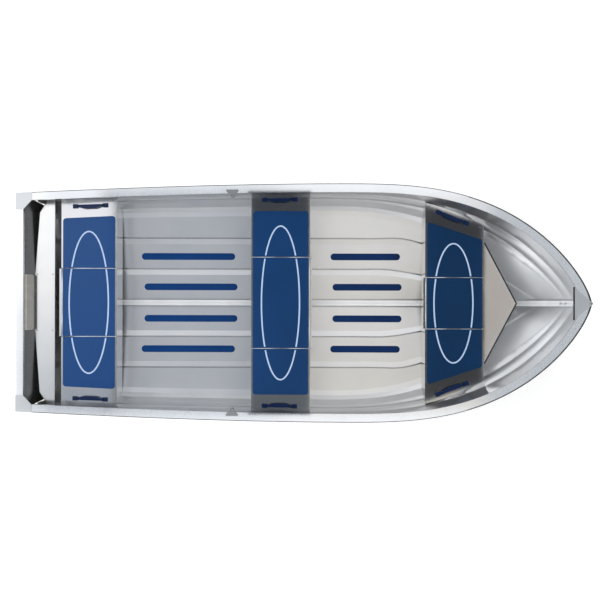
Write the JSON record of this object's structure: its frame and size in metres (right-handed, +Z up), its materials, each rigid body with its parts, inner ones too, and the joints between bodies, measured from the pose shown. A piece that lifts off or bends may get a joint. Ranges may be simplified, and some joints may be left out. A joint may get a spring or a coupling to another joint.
{
  "type": "rowing boat",
  "caption": "Open aluminium rowing boat with a V bottom, thwart boxes with hinged lids, a bow box, a stern shelf and a raked transom.",
  "frame": {"origin": "on the centreline at mid-length, at the light waterline", "axes": "+X to the bow, +Y to port, +Z up"},
  "size_m": [3.9476, 1.661, 0.703],
  "materials": {
    "hull_sheet": "pressed sheet, satin",
    "seat_sheet": "folded sheet, satin",
    "edge_extrusion": "anodised extrusion, satin",
    "casting": "sand-blasted casting",
    "rub_rubber": "moulded",
    "mat_blue": "ribbed foam mat",
    "handle_blue": "moulded",
    "steel": "stainless",
    "pad": "textured sheet"
  },
  "bodies": {
    "hull": {"bow_box": "seat_sheet", "bow_fittings": "casting", "corner_casting_port": "casting", "corner_casting_starboard": "casting", "floor_strips": "mat_blue", "grab_handles": "handle_blue", "gunwale_port": "edge_extrusion", "gunwale_starboard": "edge_extrusion", "hatch_hinges": "steel", "hull_bottom_port": "hull_sheet", "hull_bottom_starboard": "hull_sheet", "hull_side_port": "hull_sheet", "hull_side_starboard": "hull_sheet", "keel_bar": "hull_sheet", "keelson": "hull_sheet", "mats_aft": "mat_blue", "mats_front": "mat_blue", "mats_middle": "mat_blue", "motor_pad_inner": "pad", "motor_pad_outer": "pad", "rowlock_socket_port": "casting", "rowlock_socket_starboard": "casting", "rub_strip_port": "rub_rubber", "rub_strip_starboard": "rub_rubber", "shelf_cover": "seat_sheet", "stern_shelf": "seat_sheet", "thwart_aft": "seat_sheet", "thwart_front": "seat_sheet", "thwart_middle": "seat_sheet", "transom": "hull_sheet", "transom_rail": "edge_extrusion", "tray_aft": "seat_sheet", "tray_front": "seat_sheet", "tray_middle": "seat_sheet"},
    "lid_aft": {"lid_aft": "seat_sheet", "lid_mat_aft": "mat_blue"},
    "lid_middle": {"lid_middle": "seat_sheet", "lid_mat_middle": "mat_blue"},
    "lid_front": {"lid_front": "seat_sheet", "lid_mat_front": "mat_blue"}
  },
  "joints": [
    {"name": "aft_lid_hinge", "type": "hinge", "parent": "hull", "child": "lid_aft", "pos_m": [-1.708, 0, 0.259], "axis": [0, -1, 0], "range_deg": [0, 95]},
    {"name": "middle_lid_hinge", "type": "hinge", "parent": "hull", "child": "lid_middle", "pos_m": [0.074, 0, 0.259], "axis": [0, 1, 0], "range_deg": [0, 95]},
    {"name": "front_lid_hinge", "type": "hinge", "parent": "hull", "child": "lid_front", "pos_m": [0.875, 0, 0.259], "axis": [0, -1, 0], "range_deg": [0, 95]}
  ]
}
